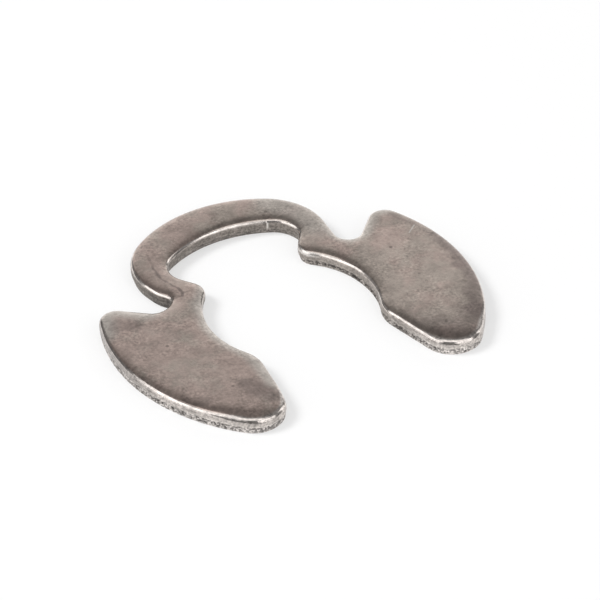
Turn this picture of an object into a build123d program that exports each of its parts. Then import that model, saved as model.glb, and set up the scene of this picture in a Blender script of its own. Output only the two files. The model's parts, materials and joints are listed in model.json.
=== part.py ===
# Retaining ring of the open, two-lobed kind: it is pushed onto a shaft from the side and snaps into a groove.
# It is one flat steel stamping, blanked from strip in one stroke, so the whole ring is a single solid.
# Lengths are millimetres and angles are degrees, counted from +X.
# Origin: on the shaft axis, at the underside. +Y points to the bow, -Y out of the mouth, +Z up.
import os
from math import cos, radians, sin, sqrt

from build123d import *

# Stock, and the seat that grips the floor of the shaft's groove: the ring is laid out from it outwards
stock_thickness = 1.07
seat_diameter = 10.06

# Prongs: the blunt corners where the seat ends, with the flank that leads from each into the bow
prong_angle = 53.3
prong_round = 1.0
flank_angle = 57.4
flank_length = 3.02

# Bow: the tapered spring that joins the two lobes, widest at its crown
inner_corner_round = 1.4
inner_crown_radius = 7.03
bow_width = 2.63
crown_radius = 8.03
shoulder_round = 3.82
side_angle = 81.8

# Notches that free the bow from the lobes, each a neck's width out from the seat
neck_width = 0.91
notch_angle = 21.9
notch_round = 0.79

# Lobes: horns at the back, feet at the front, and jaw tips that hold the shaft once it is past the mouth
back_angle = 42.3
horn_round = 1.02
foot_angle = -60.9
foot_round = 1.83
jaw_angle = -35.4
jaw_round = 2.3

# Blanked edge, from the top down: the die roll, the rim that turns it into the wall, the burnished band,
# and the fracture that leans in to the burr side and ends in a worn bevel
roll_radius = 1.35
roll_angle = 25
rim_round = 0.27
fracture_height = 0.45
fracture_inset = 0.05
burr_bevel = 0.04

# Spare stock outside the outline, which the blanking cut takes away, and how far the cut runs past the faces
spare_stock = 0.1
overrun = 0.2

quarter_turn = 90


def from_point(start, length, angle):
    """The point at a length and an angle from a start point."""
    return (start[0] + length * cos(radians(angle)), start[1] + length * sin(radians(angle)))


def out_to_circle(start, angle, centre, radius):
    """Where the line that leaves a start point inside a circle at an angle crosses that circle."""
    x = start[0] - centre[0]
    y = start[1] - centre[1]
    along = x * cos(radians(angle)) + y * sin(radians(angle))
    return from_point(start, sqrt(along**2 + radius**2 - x**2 - y**2) - along, angle)


# Sharp corners of the right half: the seat and the inside of the bow, then the outside, back to the mouth
axis = (0, 0)
seat_radius = seat_diameter / 2
jaw = from_point(axis, seat_radius, jaw_angle)
prong = from_point(axis, seat_radius, prong_angle)
inner_corner = from_point(prong, flank_length, flank_angle)
inner_crown_rise = inner_crown_radius - sqrt(inner_crown_radius**2 - inner_corner[0] ** 2)
inner_crown = (0, inner_corner[1] + inner_crown_rise)
crown = (0, inner_crown[1] + bow_width)
outside_radius = crown[1]
notch = from_point(axis, seat_radius + neck_width, notch_angle)
shoulder = out_to_circle(notch, side_angle, (0, crown[1] - crown_radius), crown_radius)
horn = out_to_circle(notch, back_angle, axis, outside_radius)
foot = from_point(axis, outside_radius, foot_angle)
corner_rounds = (
    (jaw, jaw_round),
    (prong, prong_round),
    (inner_corner, inner_corner_round),
    (shoulder, shoulder_round),
    (notch, notch_round),
    (horn, horn_round),
    (foot, foot_round),
)

# Outline of the blank: one half with its corners rounded, then its mirror image
with BuildSketch() as blank:
    with BuildLine():
        ThreePointArc(jaw, (seat_radius, 0), prong)
        Line(prong, inner_corner)
        RadiusArc(inner_corner, inner_crown, -inner_crown_radius)
        Line(inner_crown, crown)
        RadiusArc(crown, shoulder, crown_radius)
        Polyline(shoulder, notch, horn)
        ThreePointArc(horn, (outside_radius, 0), foot)
        Line(foot, jaw)
    make_face()
    for corner, corner_round in corner_rounds:
        fillet(blank.vertices().sort_by_distance(corner)[0], radius=corner_round)
    mirror(about=Plane.YZ)

# Plane across the edge where the outline starts: its X points into the metal and its Y up
outline = blank.sketch.face().outer_wire()
roll_turn = radians(roll_angle)
roll_reach = roll_radius * sin(roll_turn) + rim_round * (1 - sin(roll_turn))
along = outline % 0
inward = Axis.Z.direction.cross(along)
if not blank.sketch.face().is_inside(outline @ 0 + inward * roll_reach):
    along = -along
    inward = -inward
edge_plane = Plane(origin=outline @ 0, x_dir=inward, z_dir=along)

# What the blanking cut takes away beside the outline, bounded on the inside by the finished edge
with BuildSketch(edge_plane) as scrap_section:
    with BuildLine():
        roll = JernArc((roll_reach, stock_thickness), (-1, 0), roll_radius, roll_angle)
        rim = JernArc(roll @ 1, roll % 1, rim_round, quarter_turn - roll_angle)
        Polyline(
            rim @ 1,
            (0, fracture_height),
            (fracture_inset, burr_bevel),
            (fracture_inset + burr_bevel, 0),
            (fracture_inset + burr_bevel, -overrun),
            (-overrun, -overrun),
            (-overrun, stock_thickness + overrun),
            (roll_reach, stock_thickness + overrun),
            roll @ 0,
        )
    make_face()

# The ring: a slightly larger plate, with the scrap section swept away all along the outline
with BuildPart() as ring:
    with BuildSketch():
        add(blank.sketch)
        offset(amount=spare_stock)
    extrude(amount=stock_thickness)
    sweep(sections=scrap_section.sketch, path=outline, mode=Mode.SUBTRACT)

ring.part.label = "retaining_ring"
os.makedirs("parts", exist_ok=True)
export_step(ring.part, "parts/retaining_ring.step")
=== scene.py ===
import json
from cmath import phase, rect
from math import ceil, cos, pi, radians, sin, sqrt, tan

import bpy
import numpy as np
from mathutils import Matrix, Vector
from mathutils.geometry import delaunay_2d_cdt


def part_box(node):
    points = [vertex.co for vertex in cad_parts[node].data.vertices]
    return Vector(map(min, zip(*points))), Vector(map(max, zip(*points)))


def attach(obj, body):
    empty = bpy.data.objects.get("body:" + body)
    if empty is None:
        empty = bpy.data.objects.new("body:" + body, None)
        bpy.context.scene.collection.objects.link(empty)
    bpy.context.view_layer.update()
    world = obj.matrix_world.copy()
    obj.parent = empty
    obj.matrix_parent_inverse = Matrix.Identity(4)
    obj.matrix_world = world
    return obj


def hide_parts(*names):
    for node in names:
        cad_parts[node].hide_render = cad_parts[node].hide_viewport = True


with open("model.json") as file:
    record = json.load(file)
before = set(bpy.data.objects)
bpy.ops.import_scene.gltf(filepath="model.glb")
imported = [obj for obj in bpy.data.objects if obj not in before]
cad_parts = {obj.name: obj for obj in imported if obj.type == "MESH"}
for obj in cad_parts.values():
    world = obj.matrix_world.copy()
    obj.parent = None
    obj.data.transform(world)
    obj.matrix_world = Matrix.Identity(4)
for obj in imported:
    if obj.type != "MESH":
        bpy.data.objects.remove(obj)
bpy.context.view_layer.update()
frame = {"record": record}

# Retaining ring: one flat stamping of hardened spring steel, blanked from strip in one stroke, then tumbled.
# It is pushed onto a shaft from the side: the two seat arcs grip the floor of a groove; the bow springs.
# Sizes are millimetres and degrees; plan points are complex numbers, x + iy, with the bow towards +y.
MM = 0.001
ring_low, ring_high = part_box("retaining_ring")
thickness = (ring_high.z - ring_low.z) / MM
outside_radius = ring_high.y / MM
shaft_seat = next(mount for mount in frame["record"]["mounts"] if mount["name"] == "shaft_seat")
seat_radius = shaft_seat["dims"]["r_mm"]

# Prongs: the blunt corners where the seat ends, with the flank that leads from each into the bow
prong_angle = 53.3
prong_round = 1.0
flank_angle = 57.4
flank_length = 3.02

# Bow: the tapered spring that joins the two lobes, widest at its crown
inner_corner_round = 1.4
inner_crown_radius = 7.03
crown_radius = 8.03
shoulder_round = 3.82
side_angle = 81.8

# Notches that free the bow from the lobes, each a neck's width out from the seat
neck_width = 0.91
notch_angle = 21.9
notch_round = 0.79

# Lobes: horns at the back, feet at the front, and jaw tips beside the mouth
back_angle = 42.3
horn_round = 1.02
foot_angle = -60.9
foot_round = 1.83
jaw_angle = -35.4
jaw_round = 2.3

# Spacing of the points along the outline, and the steps in which a corner's centre closes in on its place
column_step = 0.048
corner_tries = 12


def toward(angle):
    """The direction at an angle from +x, as a unit length."""
    return rect(1, radians(angle))


def out_to_circle(start, angle, centre, radius):
    """Where the line that leaves a start point inside a circle at an angle crosses that circle."""
    from_centre = (start - centre) / toward(angle)
    return start + toward(angle) * (sqrt(radius**2 - from_centre.imag**2) - from_centre.real)


def straight(start, end):
    """A straight edge, metal on its left: how deep a point lies in the metal, and a walk along the edge."""
    inward = 1j * (end - start) / abs(end - start)

    def depth(point):
        return ((point - start) / inward).real, inward

    def walk(first, last):
        count = ceil(abs(last - first) / column_step)
        return [first + (last - first) * i / count for i in range(count)]

    return depth, walk


def curved(centre, radius, side):
    """The same for an arc about a centre, with the metal outside it (side 1) or inside it (side -1)."""

    def depth(point):
        outward = (point - centre) / abs(point - centre)
        return side * (abs(point - centre) - radius), side * outward

    def walk(first, last):
        turn = phase((last - centre) / (first - centre))
        count = ceil(abs(turn) * abs(first - centre) / column_step)
        return [centre + (first - centre) * rect(1, turn * i / count) for i in range(count)]

    return depth, walk


def rounded(before, after, corner, radius):
    """The arc that rounds a corner between two edges: its centre and the two points where it touches them.
    The radius is positive where metal fills the corner, and negative where the corner is hollow."""
    centre = corner
    for _ in range(corner_tries):
        deep_before, in_before = before[0](centre)
        deep_after, in_after = after[0](centre)
        lacking = (radius - deep_before) * in_after - (radius - deep_after) * in_before
        centre += -1j * lacking / (in_before.conjugate() * in_after).imag
    return centre, centre - radius * in_before, centre - radius * in_after


# The right half of the outline, from the inside of the bow round the seat, mouth and lobe to the crown
jaw = seat_radius * toward(jaw_angle)
prong = seat_radius * toward(prong_angle)
inner_corner = prong + flank_length * toward(flank_angle)
inner_crown_centre = 1j * (inner_corner.imag - sqrt(inner_crown_radius**2 - inner_corner.real**2))
inner_crown = inner_crown_centre + 1j * inner_crown_radius
crown = 1j * outside_radius
crown_centre = crown - 1j * crown_radius
notch = (seat_radius + neck_width) * toward(notch_angle)
shoulder = out_to_circle(notch, side_angle, crown_centre, crown_radius)
horn = out_to_circle(notch, back_angle, 0, outside_radius)
foot = outside_radius * toward(foot_angle)
edges = (
    curved(inner_crown_centre, inner_crown_radius, 1),
    straight(inner_corner, prong),
    curved(0, seat_radius, 1),
    straight(jaw, foot),
    curved(0, outside_radius, -1),
    straight(horn, notch),
    straight(notch, shoulder),
    curved(crown_centre, crown_radius, -1),
)
corners = (
    (inner_corner, -inner_corner_round),
    (prong, prong_round),
    (jaw, jaw_round),
    (foot, foot_round),
    (horn, horn_round),
    (notch, -notch_round),
    (shoulder, shoulder_round),
)
half = []
reached = inner_crown
for before, after, (corner, radius) in zip(edges, edges[1:], corners):
    centre, leaves, joins = rounded(before, after, corner, radius)
    half += before[1](reached, leaves) + curved(centre, abs(radius), 1)[1](leaves, joins)
    reached = joins
half += edges[-1][1](reached, crown)
outline = np.array(half + [crown] + [-point.conjugate() for point in half[:0:-1]])

# This ring's own faults: the left notch bites deeper into its neck than the right one, and the bow's inner
# corner on the right is deeper than the left one. Each is a place, a push into the metal, and its reach.
bites = (
    (-5.9 + 4.0j, 0.35 + 0.06j, 0.75),
    (4.1 + 5.9j, 0.1 - 0.065j, 0.7),
)
for bite_place, push, bite_reach in bites:
    outline += push * np.exp(-(np.abs(outline - bite_place) ** 2) / bite_reach**2)

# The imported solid's round edges are chords, so the outline is a hair smaller and stays inside them
chord_share = 0.9997
outline *= chord_share

# The cut edge across the outline, from the face down: die roll, rim, burnished band, fracture, worn burr.
# Each point is (inset from the outline, height); the face itself starts where the roll has died away.
face_inset = 0.9
roll_angle = 25
rim_round = 0.27
rim_top = 0.955
burnish_top = rim_top - rim_round * cos(radians(roll_angle))
fracture_height = 0.45
fracture_inset = 0.05
burr_bevel = 0.04
roll_start = rim_round * (1 - sin(radians(roll_angle)))
upright = 90

# Rows of points on each part of it; those of the roll crowd towards the rim, where it bends most
roll_rows = 9
roll_crowding = 1.5
rim_rows = 9
burnish_rows = 5
fracture_rows = 11
bevel_rows = 2


def rows(start, end, count):
    """Evenly spaced points from start up to, but not with, end."""
    return [tuple(s + (e - s) * i / count for s, e in zip(start, end)) for i in range(count)]


section = []
for i in range(roll_rows):
    from_rim = (1 - i / roll_rows) ** roll_crowding
    section.append((roll_start + (face_inset - roll_start) * from_rim, thickness))
for i in range(rim_rows):
    tilt = radians(roll_angle + (upright - roll_angle) * i / rim_rows)
    section.append((rim_round * (1 - sin(tilt)), burnish_top + rim_round * cos(tilt)))
section += rows((0, burnish_top), (0, fracture_height), burnish_rows)
section += rows((0, fracture_height), (fracture_inset, burr_bevel), fracture_rows)
section += rows((fracture_inset, burr_bevel), (fracture_inset + burr_bevel, 0), bevel_rows)
section.append((fracture_inset + burr_bevel, 0))


def line_object(name, points, closed):
    """A curve object through plan points, which the ring's tree reads and the scene then drops."""
    data = bpy.data.curves.new(name, "CURVE")
    data.dimensions = "3D"
    spline = data.splines.new("POLY")
    spline.points.add(len(points) - 1)
    for spline_point, (x, y) in zip(spline.points, points):
        spline_point.co = (x * MM, y * MM, 0, 1)
    spline.use_cyclic_u = closed
    made = bpy.data.objects.new(name, data)
    bpy.context.scene.collection.objects.link(made)
    return made


def inset_loop(loop, inset):
    """A loop of plan points moved into the metal, each along the mean of its two sides' normals."""
    steps = np.roll(loop, -1) - loop
    steps /= np.abs(steps)
    ways = steps + np.roll(steps, 1)
    return loop + 1j * inset * ways / np.abs(ways)


# The flat faces get a triangular grid of points to shape them by, which stays clear of their edge.
# Every third point of the edge is near enough for that test.
face_step = 0.28
row_step = face_step * sqrt(0.75)
edge_clearance = face_step * 0.6
edge_skip = 3
inside_only = 1
same_point = 1e-6


def face_mesh(loop):
    """Points and triangles of a flat face inside a loop."""
    grid = np.array([
        complex(x + face_step / 2 * (row % 2), y)
        for row, y in enumerate(np.arange(-outside_radius, outside_radius, row_step))
        for x in np.arange(-outside_radius, outside_radius, face_step)
    ])
    gaps = grid[:, None] - loop[None, ::edge_skip]
    clear = np.abs(gaps).min(axis=1) > edge_clearance
    turns = np.angle(np.roll(gaps, -1, axis=1) / gaps).sum(axis=1)
    points = np.concatenate([loop, grid[clear & (np.abs(turns) > pi)]])
    flat_points = [Vector((point.real, point.imag)) for point in points]
    made = delaunay_2d_cdt(flat_points, [], [list(range(len(loop)))], inside_only, same_point)
    return [(p.x, p.y) for p in made[0]], [tuple(f) for f in made[2]]


vertices = []
triangles = []
for inset, level, upward in ((face_inset, thickness, True), (fracture_inset + burr_bevel, 0, False)):
    points, faces = face_mesh(inset_loop(outline, inset))
    base = len(vertices)
    vertices += [(x * MM, y * MM, level * MM) for x, y in points]
    for a, b, c in faces:
        triangles.append((base + a, base + b, base + c) if upward else (base + c, base + b, base + a))
faces_mesh = bpy.data.meshes.new("ring_stamping")
faces_mesh.from_pydata(vertices, [], triangles)
ring = bpy.data.objects.new("ring_stamping", faces_mesh)
bpy.context.scene.collection.objects.link(ring)
outline_line = line_object("ring_outline", [(p.real, p.imag) for p in outline], True)
section_line = line_object("ring_edge_section", [(-inset, -level) for inset, level in section], False)


def add(tree, kind, inputs=None, **settings):
    """Adds a node: settings are its own choices, inputs are values or the sockets of other nodes."""
    made = tree.nodes.new(kind)
    for name, value in settings.items():
        setattr(made, name, value)
    for name, value in (inputs or {}).items():
        if isinstance(value, bpy.types.NodeSocket):
            tree.links.new(value, made.inputs[name])
        else:
            made.inputs[name].default_value = value
    return made


def calc(tree, operation, *values):
    """A Math node's result, from up to three values or sockets."""
    return add(tree, "ShaderNodeMath", dict(enumerate(values)), operation=operation).outputs[0]


def product(tree, *values):
    """Several masks or values multiplied together."""
    result = values[0]
    for value in values[1:]:
        result = calc(tree, "MULTIPLY", result, value)
    return result


def vector_calc(tree, operation, *values):
    """A Vector Math node's result: a number where the operation measures a length, or else a vector."""
    made = add(tree, "ShaderNodeVectorMath", dict(enumerate(values)), operation=operation)
    measures = operation in ("DISTANCE", "LENGTH", "DOT_PRODUCT")
    return made.outputs["Value" if measures else "Vector"]


def scaled(tree, vector, factor):
    """A vector or colour times a factor."""
    made = add(tree, "ShaderNodeVectorMath", {0: vector, "Scale": factor}, operation="SCALE")
    return made.outputs["Vector"]


def ramp(tree, value, low, high, at_low=0.0, at_high=1.0):
    """A smooth change from one value to another while a field passes from low to high."""
    return add(tree, "ShaderNodeMapRange", {
        "Value": value, "From Min": low, "From Max": high, "To Min": at_low, "To Max": at_high,
    }, interpolation_type="SMOOTHSTEP").outputs[0]


def noise(tree, vector, scale, detail, roughness=0.6, output=0):
    """Cloudy variation about 0.5, with so many features to a millimetre."""
    return add(tree, "ShaderNodeTexNoise", {
        "Vector": vector, "Scale": scale, "Detail": detail, "Roughness": roughness,
    }).outputs[output]


# The ring's material: satin brown-grey steel, mottled and darker in bands on the face, bright at the rim,
# torn below
steel = bpy.data.materials.new("tumbled_spring_steel")
steel.use_nodes = True
shade = steel.node_tree
shade.nodes.clear()


# A Mix node's sockets for numbers and colours share their names, so its colour sockets go by their place
first_colour = 6
second_colour = 7
mixed_colour = 2


def blend(share, first, second):
    """One colour turning into another."""
    made = add(shade, "ShaderNodeMix", {
        "Factor": share, first_colour: first, second_colour: second,
    }, data_type="RGBA")
    return made.outputs[mixed_colour]


def fade_out(value, near, far, strength=1.0):
    """A mask that has its full strength up to near, and is gone by far."""
    return ramp(shade, value, near, far, strength, 0.0)


def without(mask):
    """What a mask leaves over."""
    return calc(shade, "SUBTRACT", 1.0, mask)


def off_middle(field):
    """A cloudy field's swing about nought."""
    return calc(shade, "SUBTRACT", field, 0.5)


# Where a place is: in millimetres, on the plan, as a share of the thickness, on the wall or on the face
object_place = add(shade, "ShaderNodeTexCoord").outputs["Object"]
in_mm = add(shade, "ShaderNodeMapping", {"Vector": object_place, "Scale": (1 / MM,) * 3}).outputs[0]
plan = vector_calc(shade, "MULTIPLY", in_mm, (1, 1, 0))
along = add(shade, "ShaderNodeSeparateXYZ", {"Vector": in_mm}).outputs
height = calc(shade, "DIVIDE", along["Z"], thickness)
on_wall = fade_out(height, 0.84, 0.9)
on_face = without(on_wall)
below_rim = fade_out(height, 0.7, 0.82)
torn, pits, nick = (
    add(shade, "ShaderNodeAttribute", attribute_name=name).outputs["Fac"]
    for name in ("torn", "pits", "nick")
)


def from_line(vector, points):
    """How far a place is from a line through plan points."""
    nearest = None
    for start, end in zip(points, points[1:]):
        span = (end[0] - start[0], end[1] - start[1], 0)
        offset = vector_calc(shade, "SUBTRACT", vector, (*start, 0))
        share = vector_calc(shade, "DOT_PRODUCT", offset, span)
        share = calc(shade, "DIVIDE", share, span[0] ** 2 + span[1] ** 2)
        share = add(shade, "ShaderNodeClamp", {"Value": share}).outputs[0]
        gap = vector_calc(shade, "DISTANCE", offset, scaled(shade, span, share))
        nearest = gap if nearest is None else calc(shade, "MINIMUM", nearest, gap)
    return nearest


# Cloudy textures: clouds, mottles drawn out into swirls, fine grain that wear has made uneven, and streaks
# that run along the wall because they are squeezed in height
cloud_scale = 0.55
swirl_scale = 0.8
swirl_reach = 1.6
mottle_scale = 1.3
grain_scale = 5.5
wear_scale = 0.55
streak_squeeze = (1.6, 1.6, 14)
clouds = noise(shade, in_mm, cloud_scale, 4)
swirls = noise(shade, in_mm, swirl_scale, 2, output="Color")
swirl_place = vector_calc(shade, "MULTIPLY_ADD", swirls, (swirl_reach,) * 3, in_mm)
mottles = noise(shade, swirl_place, mottle_scale, 3)
grain = noise(shade, in_mm, grain_scale, 3)
grain_wear = ramp(shade, noise(shade, swirl_place, wear_scale, 2), 0.42, 0.58, 0.5, 1.3)
streaks = noise(shade, vector_calc(shade, "MULTIPLY", in_mm, streak_squeeze), 1.0, 3)

# Darker bands on the face: each is a line through plan points, its half width, its strength,
# and the share of that strength it keeps where it is faintest
dark_bands = (
    (((5.6, -6.2), (6.8, -7.4), (8.2, -6.4)), 1.1, 0.52, 0.85),
    (((8.4, -6.4), (10.0, -3.6), (10.7, -0.6), (10.75, 0.9)), 0.68, 0.67, 0.85),
    (((9.6, 4.0), (10.3, 2.6), (10.75, 0.6), (10.5, -2.6), (9.8, -4.6)), 0.36, 0.4, 0.85),
    (((-6.1, -5.0), (-5.9, -5.8), (-5.5, -6.6)), 0.68, 0.6, 0.85),
    (((-9.4, 3.5), (-8.6, 2.9)), 0.5, 0.5, 0.6),
    (((4.9, -4.3), (5.1, -5.2)), 0.5, 0.32, 0.85),
    (((-9.6, -4.5), (-8.9, -5.1)), 0.35, 0.34, 0.85),
    (((2.5, 6.9), (3.5, 6.5)), 0.3, 0.34, 0.85),
    (((-4.5, 8.3), (-4.9, 7.0), (-5.0, 6.0), (-4.7, 4.7)), 0.08, 0.6, 0.3),
    (((-4.95, 6.6), (-5.0, 6.1)), 0.16, 0.45, 0.6),
    (((-4.68, 4.7), (-4.7, 4.2), (-4.8, 3.95)), 0.11, 0.8, 0.7),
)
band_waver_scale = 1.1
band_patch_scale = 2.0
least_waver = 0.25
waver_per_width = 1.1
band_core = 0.5
band_edge = 1.3
band_waver = noise(shade, plan, band_waver_scale, 3, output="Color")
band_waver = vector_calc(shade, "SUBTRACT", band_waver, (0.5, 0.5, 0.5))
band_patches = noise(shade, plan, band_patch_scale, 2)
undarkened = 1.0
for line, half_width, strength, least in dark_bands:
    waver_reach = least_waver + waver_per_width * half_width
    wavering = vector_calc(shade, "MULTIPLY_ADD", band_waver, (waver_reach, waver_reach, 0), plan)
    from_band = from_line(wavering, line)
    darkened = fade_out(from_band, half_width * band_core, half_width * band_edge, strength)
    patchy = ramp(shade, band_patches, 0.35, 0.55, least, 1.0)
    undarkened = product(shade, without(product(shade, darkened, patchy)), undarkened)
band_darkening = without(undarkened)

# Painted sheen: edges of the face that roll away from the camera are painted paler and greyer, as they
# mirror the pale backdrop. Each is a line through plan points, how far in from it the sheen reaches, and its
# strength
seat_edge = ((-2.9, 4.2), (-4.3, 2.6), (-5.0, 0.6), (-4.9, -1.2), (-4.4, -2.9), (-4.55, -4.6), (-4.75, -5.6))
sheen_edges = (
    (((-10.5, 3.4), (-9.6, 5.0), (-8.7, 5.0), (-7.4, 3.9)), 1.3, 0.9),
    (seat_edge, 0.95, 0.85),
    (((5.75, 5.2), (5.83, 4.4), (6.24, 3.59), (7.14, 3.71), (8.6, 5.0), (9.6, 4.9)), 0.95, 0.8),
    (((4.4, 8.9), (5.3, 7.2), (5.5, 5.5)), 1.7, 0.6),
)
sheen_core = 0.25
edge_sheen = 0.0
for line, sheen_reach, strength in sheen_edges:
    sheen_here = fade_out(from_line(plan, line), sheen_reach * sheen_core, sheen_reach, strength)
    edge_sheen = calc(shade, "MAXIMUM", sheen_here, edge_sheen)

# Dark specks, some of a scatter of cells, and one bright scratch near the edge of the right lobe
speck_scale = 0.75
speck_strength = 0.55
scratch_line = ((9.37, 2.03), (10.02, 2.5))
scratch_strength = 0.75
speck_cells = add(shade, "ShaderNodeTexVoronoi", {"Vector": plan, "Scale": speck_scale}).outputs
speck_choice = add(shade, "ShaderNodeSeparateColor", {"Color": speck_cells["Color"]}).outputs[0]
speck_dots = fade_out(speck_cells["Distance"], 0.05, 0.11)
specks = product(shade, speck_dots, ramp(shade, speck_choice, 0.5, 0.6), speck_strength)
scratch = fade_out(from_line(plan, scratch_line), 0.02, 0.055)
scratch = product(shade, scratch, on_face, scratch_strength)


def by_height(stops):
    """A ramp from the underside (0) to the face (1) of the ring, through colours or values."""
    made = add(shade, "ShaderNodeValToRGB", {"Fac": height})
    elements = made.color_ramp.elements
    while len(elements) < len(stops):
        elements.new(0.5)
    for element, (position, value) in zip(elements, stops):
        element.position = position
        element.color = (*value, 1) if isinstance(value, tuple) else (value, value, value, 1)
    return made.outputs[0]


# Colours of the metal: on the wall a paler fracture, a dark burnished band and a bright rim; on the face
# brown that turns greyer in the clouds and to the right, then a painted sheen on edges, darker bands, specks
# and a scratch
wall_colour = by_height((
    (0.0, (0.78, 0.73, 0.695)),
    (0.1, (0.81, 0.76, 0.725)),
    (0.25, (0.81, 0.755, 0.72)),
    (0.42, (0.74, 0.69, 0.65)),
    (0.52, (0.60, 0.55, 0.515)),
    (0.66, (0.60, 0.55, 0.515)),
    (0.78, (0.79, 0.725, 0.685)),
    (0.9, (0.76, 0.695, 0.65)),
))
temper_brown = (0.612, 0.488, 0.435, 1)
temper_grey = (0.566, 0.488, 0.43, 1)
temper_drift = 0.011
sheen_steel = (0.66, 0.612, 0.56, 1)
band_brown = (0.27, 0.22, 0.205, 1)
speck_black = (0.12, 0.1, 0.09, 1)
scratch_bright = (0.92, 0.87, 0.82, 1)
tempered = calc(shade, "MULTIPLY_ADD", along["X"], temper_drift, clouds)
face_colour = blend(ramp(shade, tempered, 0.36, 0.64), temper_brown, temper_grey)
# Painted sheen along the edges that roll away from the camera
face_colour = blend(edge_sheen, face_colour, sheen_steel)
face_colour = blend(band_darkening, face_colour, band_brown)
face_colour = blend(specks, face_colour, speck_black)
metal_colour = blend(on_wall, face_colour, wall_colour)
metal_colour = blend(scratch, metal_colour, scratch_bright)

# Walls that tumbling hardly reached: round the bow, at the seat and in the notches. The plan is folded into
# one quarter, so the place of a notch stands for both of them, and for the walls beside the mouth.
# The rim at the tip of the right prong is painted paler instead: a painted highlight, wider than the glint
# its shape gives.
notch_place = (6.3, 4.2, 0)
prong_place = (3.3, 3.85, 0)
seat_shelter = 0.72
folded = vector_calc(shade, "ABSOLUTE", plan)
from_notch = vector_calc(shade, "DISTANCE", folded, notch_place)
from_axis = vector_calc(shade, "LENGTH", plan)
from_prong = vector_calc(shade, "DISTANCE", plan, prong_place)
prong_rim = product(shade, ramp(shade, height, 0.56, 0.76), on_wall)
# Painted highlight: near the right prong's tip the rim is painted paler, to widen its glint
prong_glint = product(shade, fade_out(from_prong, 0.2, 1.15), prong_rim)
sheltered = calc(shade, "MAXIMUM", ramp(shade, along["Y"], 2.5, 6.5), fade_out(from_notch, 1.4, 2.4))
sheltered = calc(shade, "MAXIMUM", sheltered, fade_out(from_axis, 5.2, 6.2, seat_shelter))
sheltered = product(shade, sheltered, below_rim, without(prong_glint))

# Grit in the walls: most where they are torn, less where they are sheltered, least elsewhere
grit_scale = 9.0
torn_grit = 0.62
sheltered_grit = 0.5
wall_grit = 0.34
grit = calc(shade, "MAXIMUM", product(shade, sheltered, sheltered_grit), product(shade, torn, torn_grit))
grit = calc(shade, "MAXIMUM", grit, product(shade, below_rim, wall_grit))
grit = product(shade, grit, ramp(shade, noise(shade, in_mm, grit_scale, 2), 0.48, 0.58), without(prong_glint))

# Tone: mottles and grain all over and streaks along the wall; then duller where sheltered, a little brighter
# where the lobes' faces are polished, a little darker on the bow, and dull on the left lobe's burnished
# band;
# and darker in the notches, which is painted shade
mottle_strength = 0.85
grain_strength = 1.1
streak_strength = 1.2
shelter_dulling = -0.49
polished_line = ((6.8, -2.6), (8.0, 1.8), (9.4, 0.0), (9.1, -1.6))
left_polished_line = ((-8.5, -2.4), (-7.4, -3.0))
dull_line = ((-10.4, 3.4), (-10.9, 0.0))
polished = calc(
    shade, "MAXIMUM",
    fade_out(from_line(plan, polished_line), 0.6, 2.4, 0.13),
    fade_out(from_line(plan, left_polished_line), 0.5, 2.0, 0.07),
)
dull_band = product(shade, on_wall, ramp(shade, height, 0.35, 0.5))
dulled = product(shade, fade_out(from_line(plan, dull_line), 0.4, 3.4, 0.32), dull_band)
# Painted shade: the notch walls are darkened where the lobes close round them
notch_painted_shade = product(shade, fade_out(from_notch, 0.9, 2.7, 0.36), below_rim)
bow_tone = ramp(shade, along["Y"], 4.0, 7.5, 1.0, 0.94)
tone = calc(shade, "MULTIPLY_ADD", off_middle(mottles), mottle_strength, 1.0)
tone = calc(shade, "MULTIPLY_ADD", product(shade, off_middle(grain), grain_wear), grain_strength, tone)
tone = calc(shade, "MULTIPLY_ADD", product(shade, off_middle(streaks), on_wall), streak_strength, tone)
tone = product(shade, tone, calc(shade, "MULTIPLY_ADD", sheltered, shelter_dulling, 1.0))
tone = product(shade, tone, calc(shade, "ADD", polished, bow_tone))
tone = product(shade, tone, without(dulled), without(notch_painted_shade))

# The finished colour: toned, browner where sheltered, painted highlight at the prong's tip; grit, pits and
# nick
untinted = (1, 1, 1, 1)
shelter_tint = (1, 0.97, 0.932, 1)
painted_glint_colour = (1.0, 0.96, 0.92, 1)
glint_strength = 0.65
grit_black = (0.08, 0.072, 0.067, 1)
pit_black = (0.045, 0.04, 0.038, 1)
pit_strength = 0.88
nick_bright = (0.7, 0.66, 0.62, 1)
metal_colour = scaled(shade, metal_colour, tone)
metal_colour = vector_calc(shade, "MULTIPLY", metal_colour, blend(sheltered, untinted, shelter_tint))
# Painted highlight at the tip of the right prong
metal_colour = blend(product(shade, prong_glint, glint_strength), metal_colour, painted_glint_colour)
metal_colour = blend(grit, metal_colour, grit_black)
metal_colour = blend(product(shade, torn, pits, pit_strength), metal_colour, pit_black)
metal_colour = blend(nick, metal_colour, nick_bright)

# Roughness: smoothest on the burnished band and the rim, rougher in the clouds, where sheltered and under
# the prong's painted highlight
cloud_roughness = 0.14
shelter_roughness = 0.22
tip_roughness = 0.15
rough = by_height(((0.0, 0.3), (0.5, 0.3), (0.66, 0.12), (0.88, 0.11), (0.96, 0.15), (1.0, 0.18)))
rough = calc(shade, "MULTIPLY_ADD", clouds, cloud_roughness, rough)
rough = calc(shade, "MULTIPLY_ADD", sheltered, shelter_roughness, rough)
rough = calc(shade, "MULTIPLY_ADD", prong_glint, tip_roughness, rough)
mottle_relief = 2.0
relief_strength = 0.15
relief_depth = 0.02 * MM
face_relief = calc(shade, "MULTIPLY_ADD", mottles, mottle_relief, grain)
bumps = add(shade, "ShaderNodeBump", {
    "Height": face_relief, "Strength": relief_strength, "Distance": relief_depth,
}).outputs[0]
metal = add(shade, "ShaderNodeBsdfPrincipled", {
    "Base Color": metal_colour,
    "Roughness": rough,
    "Metallic": 1.0,
    "Normal": bumps,
})
add(shade, "ShaderNodeOutputMaterial", {"Surface": metal.outputs[0]})

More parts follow.
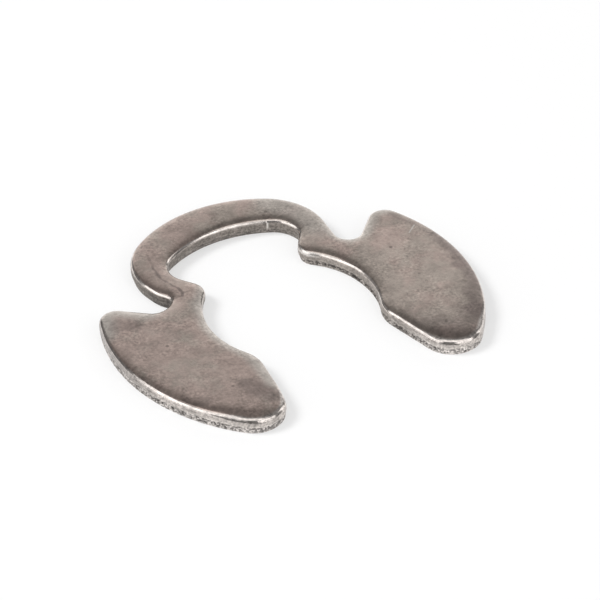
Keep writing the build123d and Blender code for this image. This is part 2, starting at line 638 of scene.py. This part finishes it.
# Tree: sweeps the section round the outline, welds it to the two faces, rolls the face down to the rim,
# and tears the lower part of the wall
tree = bpy.data.node_groups.new("blanked_ring", "GeometryNodeTree")
tree.interface.new_socket("Faces", in_out="INPUT", socket_type="NodeSocketGeometry")
tree_sizes = {
    "Outline": ("NodeSocketObject", outline_line),
    "Section": ("NodeSocketObject", section_line),
    "Steel": ("NodeSocketMaterial", steel),
    "Thickness": ("NodeSocketFloat", thickness * MM),
    "Roll Start": ("NodeSocketFloat", roll_start * MM),
    "Roll Depth": ("NodeSocketFloat", (thickness - rim_top) * MM),
    "Roll Fade": ("NodeSocketFloat", (thickness - rim_top) / tan(radians(roll_angle)) * MM),
    "Fracture Height": ("NodeSocketFloat", fracture_height * MM),
    "Fracture Waver": ("NodeSocketFloat", 0.24 * MM),
    "Tear Depth": ("NodeSocketFloat", 0.07 * MM),
    "Bow Lean": ("NodeSocketFloat", 0.09 * MM),
    "Foot Wear": ("NodeSocketFloat", 0.085 * MM),
    "Nick": ("NodeSocketVector", Vector((3.2, 7.555, 0)) * MM),
    "Nick Depth": ("NodeSocketFloat", 0.02 * MM),
    "Seed": ("NodeSocketFloat", 7.0),
}
for name, (kind, value) in tree_sizes.items():
    tree.interface.new_socket(name, in_out="INPUT", socket_type=kind)
tree.interface.new_socket("Ring", in_out="OUTPUT", socket_type="NodeSocketGeometry")
size = add(tree, "NodeGroupInput").outputs
weld_gap = 0.001 * MM
path = add(tree, "GeometryNodeObjectInfo", {"Object": size["Outline"]}).outputs["Geometry"]
across = add(tree, "GeometryNodeObjectInfo", {"Object": size["Section"]}).outputs["Geometry"]
level_path = add(tree, "GeometryNodeSetCurveNormal", {"Curve": path}, mode="Z_UP").outputs[0]
swept = add(tree, "GeometryNodeCurveToMesh", {"Curve": level_path, "Profile Curve": across}).outputs[0]
outline_edges = add(tree, "GeometryNodeCurveToMesh", {"Curve": path}).outputs[0]
joined = add(tree, "GeometryNodeJoinGeometry")
tree.links.new(swept, joined.inputs[0])
tree.links.new(size["Faces"], joined.inputs[0])
welded = add(tree, "GeometryNodeMergeByDistance", {
    "Geometry": joined.outputs[0], "Distance": weld_gap,
}).outputs[0]

# How far each point is in from the outline, and the die roll: the top sinks towards the rim
position = add(tree, "GeometryNodeInputPosition").outputs[0]
parts = add(tree, "ShaderNodeSeparateXYZ", {"Vector": position}).outputs
plan_position = add(tree, "ShaderNodeCombineXYZ", {"X": parts["X"], "Y": parts["Y"]}).outputs[0]
from_outline = add(tree, "GeometryNodeProximity", {
    "Geometry": outline_edges, "Sample Position": plan_position,
}, target_element="EDGES").outputs["Distance"]
past_rim = calc(tree, "SUBTRACT", from_outline, size["Roll Start"])
fade = calc(tree, "EXPONENT", calc(tree, "DIVIDE", product(tree, past_rim, -1.0), size["Roll Fade"]))
rolled = calc(tree, "SUBTRACT", size["Thickness"], product(tree, size["Roll Depth"], fade))
on_top = calc(tree, "GREATER_THAN", parts["Z"], calc(tree, "SUBTRACT", size["Thickness"], weld_gap))
rolled_position = add(tree, "ShaderNodeCombineXYZ", {
    "X": parts["X"], "Y": parts["Y"], "Z": rolled,
}).outputs[0]
roll = add(tree, "GeometryNodeSetPosition", {
    "Geometry": welded, "Selection": on_top, "Position": rolled_position,
}).outputs[0]

# Torn part of the wall: a wavering line, and clusters of pits below it that stay off the burr,
# with fewer of them round the bow and at the feet
waver_scale = 1.6
tear_scale = 7.5
cluster_scale = 1.4
cluster_strength = 0.3
tear_roughness = 0.5
torn_above = -0.08 * MM
torn_below = 0.03 * MM
pit_low = 0.48
pit_high = 0.55
pit_heights = ((0.02, 0.1), (0.5, 0.3))
pit_thinnings = ((2, 6, 0.3), (-6, -7.5, 0.75))
wall_reach = (fracture_inset + burr_bevel * 0.5) * MM
seed_shift = add(tree, "ShaderNodeCombineXYZ", {axis: size["Seed"] for axis in "XYZ"}).outputs[0]
grains = vector_calc(tree, "ADD", scaled(tree, position, 1 / MM), seed_shift)
waver = calc(tree, "SUBTRACT", noise(tree, grains, waver_scale, 3, tear_roughness), 0.5)
waver = product(tree, waver, size["Fracture Waver"])
below = calc(tree, "SUBTRACT", calc(tree, "ADD", size["Fracture Height"], waver), parts["Z"])
torn_field = ramp(tree, below, torn_above, torn_below)
torn_field = product(tree, torn_field, calc(tree, "LESS_THAN", from_outline, wall_reach))
clusters = calc(tree, "SUBTRACT", noise(tree, grains, cluster_scale, 2, tear_roughness), 0.5)
tear = noise(tree, grains, tear_scale, 2, tear_roughness)
tear = calc(tree, "MULTIPLY_ADD", clusters, cluster_strength, tear)
pits_field = add(tree, "ShaderNodeMapRange", {
    "Value": tear, "From Min": pit_low, "From Max": pit_high,
}).outputs[0]
for none, full in pit_heights:
    pits_field = product(tree, pits_field, ramp(tree, parts["Z"], none * MM, full * MM))
for start, end, least in pit_thinnings:
    pits_field = product(tree, pits_field, ramp(tree, parts["Y"], start * MM, end * MM, 1.0, least))
tear_step = product(tree, pits_field, size["Tear Depth"], torn_field)

# Round the bow the fracture leans in further; one nick of the die runs up the wall under the crown
bow_centre = Vector((0, 7, 0)) * MM
bow_far = 9 * MM
bow_near = 6 * MM
nick_far = 0.07 * MM
nick_near = 0.04 * MM
nick_foot = 0.4 * MM
near_bow = ramp(tree, vector_calc(tree, "DISTANCE", plan_position, bow_centre), bow_far, bow_near)
low_share = calc(tree, "SUBTRACT", 1.0, calc(tree, "DIVIDE", parts["Z"], size["Fracture Height"]))
low_share = calc(tree, "MAXIMUM", low_share, 0.0)
lean_step = product(tree, low_share, near_bow, size["Bow Lean"])
nick_field = ramp(tree, vector_calc(tree, "DISTANCE", plan_position, size["Nick"]), nick_far, nick_near)
nick_field = product(tree, nick_field, calc(tree, "GREATER_THAN", parts["Z"], nick_foot))
nick_step = product(tree, nick_field, size["Nick Depth"])
inward_step = calc(tree, "ADD", calc(tree, "ADD", tear_step, lean_step), nick_step)
normal = add(tree, "GeometryNodeInputNormal").outputs[0]
inward = vector_calc(tree, "NORMALIZE", vector_calc(tree, "MULTIPLY", normal, (-1, -1, 0)))
torn_move = scaled(tree, inward, inward_step)

# Tumbling has worn the rim rounder at the two feet: from none to full wear along y, in height and in inset
wear_spans = (
    (parts["Y"], -5.5, -7.2),
    (parts["Z"], 0.48, 0.9),
    (from_outline, 1.3, 0.1),
)
foot_wear = product(tree, size["Foot Wear"], -1.0)
for field, none, full in wear_spans:
    foot_wear = product(tree, foot_wear, ramp(tree, field, none * MM, full * MM))
move = vector_calc(tree, "ADD", torn_move, scaled(tree, normal, foot_wear))
marked = roll
for name, field in (("torn", torn_field), ("pits", pits_field), ("nick", nick_field)):
    marked = add(tree, "GeometryNodeStoreNamedAttribute", {
        "Geometry": marked, "Name": name, "Value": field,
    }, data_type="FLOAT", domain="POINT").outputs[0]
moved = add(tree, "GeometryNodeSetPosition", {"Geometry": marked, "Offset": move}).outputs[0]
smooth = add(tree, "GeometryNodeSetShadeSmooth", {"Geometry": moved}).outputs[0]
whole = add(tree, "GeometryNodeRealizeInstances", {"Geometry": smooth}).outputs[0]
finished = add(tree, "GeometryNodeSetMaterial", {"Geometry": whole, "Material": size["Steel"]}).outputs[0]
add(tree, "NodeGroupOutput", {"Ring": finished})

modifier = ring.modifiers.new("blanked_ring", "NODES")
modifier.node_group = tree
for item in tree.interface.items_tree:
    if item.in_out == "INPUT" and item.name in tree_sizes:
        modifier[item.identifier] = tree_sizes[item.name][1]
evaluated = ring.evaluated_get(bpy.context.evaluated_depsgraph_get())
ring_mesh = bpy.data.meshes.new_from_object(evaluated)
ring.modifiers.clear()
ring.data = ring_mesh
for helper in (outline_line, section_line):
    bpy.data.objects.remove(helper)
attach(ring, "root")
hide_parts("retaining_ring")

# Studio table: a wide sheet of white paper that the ring lies on. Seen by the camera or in the metal, about
# half of its white is its own, so that it stays white and still shows the ring's soft shadow.
table_half_side = 3.0
table_white = (0.92, 0.92, 0.92, 1)
pure_white = (1, 1, 1, 1)
own_white = 0.52
square = ((-1, -1), (1, -1), (1, 1), (-1, 1))
table_mesh = bpy.data.meshes.new("table")
table_mesh.from_pydata([
    (x * table_half_side, y * table_half_side, 0) for x, y in square
], [], [(0, 1, 2, 3)])
floor = bpy.data.objects.new("table", table_mesh)
bpy.context.scene.collection.objects.link(floor)
table_paper = bpy.data.materials.new("white_table")
table_paper.use_nodes = True
sheet_shade = table_paper.node_tree
sheet_shade.nodes.clear()
rays = add(sheet_shade, "ShaderNodeLightPath").outputs
mirrored_ray = calc(sheet_shade, "MAXIMUM", rays["Is Glossy Ray"], rays["Is Transmission Ray"])
seen = calc(sheet_shade, "MAXIMUM", rays["Is Camera Ray"], mirrored_ray)
lit = add(sheet_shade, "ShaderNodeBsdfDiffuse", {"Color": table_white}).outputs[0]
glowing = add(sheet_shade, "ShaderNodeEmission", {"Color": pure_white, "Strength": 1.0}).outputs[0]
sheet_surface = add(sheet_shade, "ShaderNodeMixShader", {
    0: product(sheet_shade, seen, own_white), 1: lit, 2: glowing,
}).outputs[0]
add(sheet_shade, "ShaderNodeOutputMaterial", {"Surface": sheet_surface})
table_mesh.materials.append(table_paper)

# Studio light: dim white air, a soft box on each side, a broad one overhead and a narrow one behind.
# A small one on the left lights the table and casts the ring's shadow there; the metal doesn't mirror it.
# Angles are counted round from the camera's side and up from the table; sizes are metres.
view_azimuth = -32.903
air_brightness = 0.2
lamp_distance = 1.0
world = bpy.data.worlds.new("studio")
bpy.context.scene.world = world
world.use_nodes = True
air = world.node_tree
air.nodes.clear()
sky = add(air, "ShaderNodeBackground", {"Color": pure_white, "Strength": air_brightness}).outputs[0]
add(air, "ShaderNodeOutputWorld", {"Surface": sky})


def out_from_ring(azimuth, elevation):
    """The direction out from the ring at an angle round from the camera's side and one above the table."""
    turn = radians(view_azimuth + azimuth)
    lift = radians(elevation)
    return Vector((sin(turn) * cos(lift), -cos(turn) * cos(lift), sin(lift)))


def soft_light(name, azimuth, elevation, width, depth, brightness, mirrored=True):
    """A soft box that faces the ring."""
    outward = out_from_ring(azimuth, elevation)
    data = bpy.data.lights.new(name, "AREA")
    data.shape = "RECTANGLE"
    data.size = width
    data.size_y = depth
    data.energy = brightness * pi * width * depth
    made = bpy.data.objects.new(name, data)
    made.location = outward * lamp_distance
    made.rotation_mode = "QUATERNION"
    made.rotation_quaternion = (-outward).to_track_quat("-Z", "Y")
    made.visible_camera = False
    made.visible_glossy = mirrored
    bpy.context.scene.collection.objects.link(made)


soft_light("left_box", -67, 25, 1.05, 0.85, 1.22)
soft_light("right_box", 51, 25, 1.05, 0.85, 1.18)
soft_light("overhead_box", 0, 75, 1.3, 0.8, 0.85)
soft_light("rear_box", 122, 20, 0.35, 0.7, 1.0)
soft_light("table_box", -90, 45, 0.34, 0.34, 16.8, mirrored=False)

# Backdrop: a sheet of white paper that stands behind the table, and whose white fades towards its top.
# The metal mirrors it.
backdrop_distance = 1.0
backdrop_half_width = 0.7
backdrop_top = 1.33
foot_white = 1.0
top_white = 0.2
away = -out_from_ring(0, 0)
aside = Vector((away.y, -away.x, 0))
backdrop_corners = ((-1, 0), (1, 0), (1, 1), (-1, 1))
backdrop_mesh = bpy.data.meshes.new("backdrop")
backdrop_mesh.from_pydata([
    away * backdrop_distance + aside * side * backdrop_half_width + Vector((0, 0, up * backdrop_top))
    for side, up in backdrop_corners
], [], [(0, 1, 2, 3)])
backdrop = bpy.data.objects.new("backdrop", backdrop_mesh)
bpy.context.scene.collection.objects.link(backdrop)
backdrop_paper = bpy.data.materials.new("backdrop_paper")
backdrop_paper.use_nodes = True
paper_shade = backdrop_paper.node_tree
paper_shade.nodes.clear()
paper_place = add(paper_shade, "ShaderNodeTexCoord").outputs["Object"]
rise = add(paper_shade, "ShaderNodeSeparateXYZ", {"Vector": paper_place}).outputs["Z"]
fading = add(paper_shade, "ShaderNodeMapRange", {
    "Value": rise, "From Max": backdrop_top, "To Min": foot_white, "To Max": top_white,
}).outputs[0]
paper_glow = add(paper_shade, "ShaderNodeEmission", {"Strength": fading}).outputs[0]
add(paper_shade, "ShaderNodeOutputMaterial", {"Surface": paper_glow})
backdrop_mesh.materials.append(backdrop_paper)

# Camera: a long lens that looks down on the ring from in front of its mouth, to the left.
# Its place, angle and lens come from fitting the ring's outline to the photo.
view_elevation = 36.484
view_distance = 260.15 * MM
view_target = Vector((1.296, 1.155, 0)) * MM
sensor_width = 36
lens = 274.5
nearest_seen = 0.01
back = out_from_ring(0, view_elevation)
right = Vector((cos(radians(view_azimuth)), sin(radians(view_azimuth)), 0))
axes = Matrix((right, back.cross(right), back)).transposed().to_4x4()
camera = bpy.data.objects.new("camera", bpy.data.cameras.new("camera"))
camera.data.sensor_width = sensor_width
camera.data.lens = lens
camera.data.clip_start = nearest_seen
camera.matrix_world = Matrix.Translation(view_target + back * view_distance) @ axes
bpy.context.scene.collection.objects.link(camera)
bpy.context.scene.camera = camera
bpy.context.scene.view_settings.view_transform = "Standard"
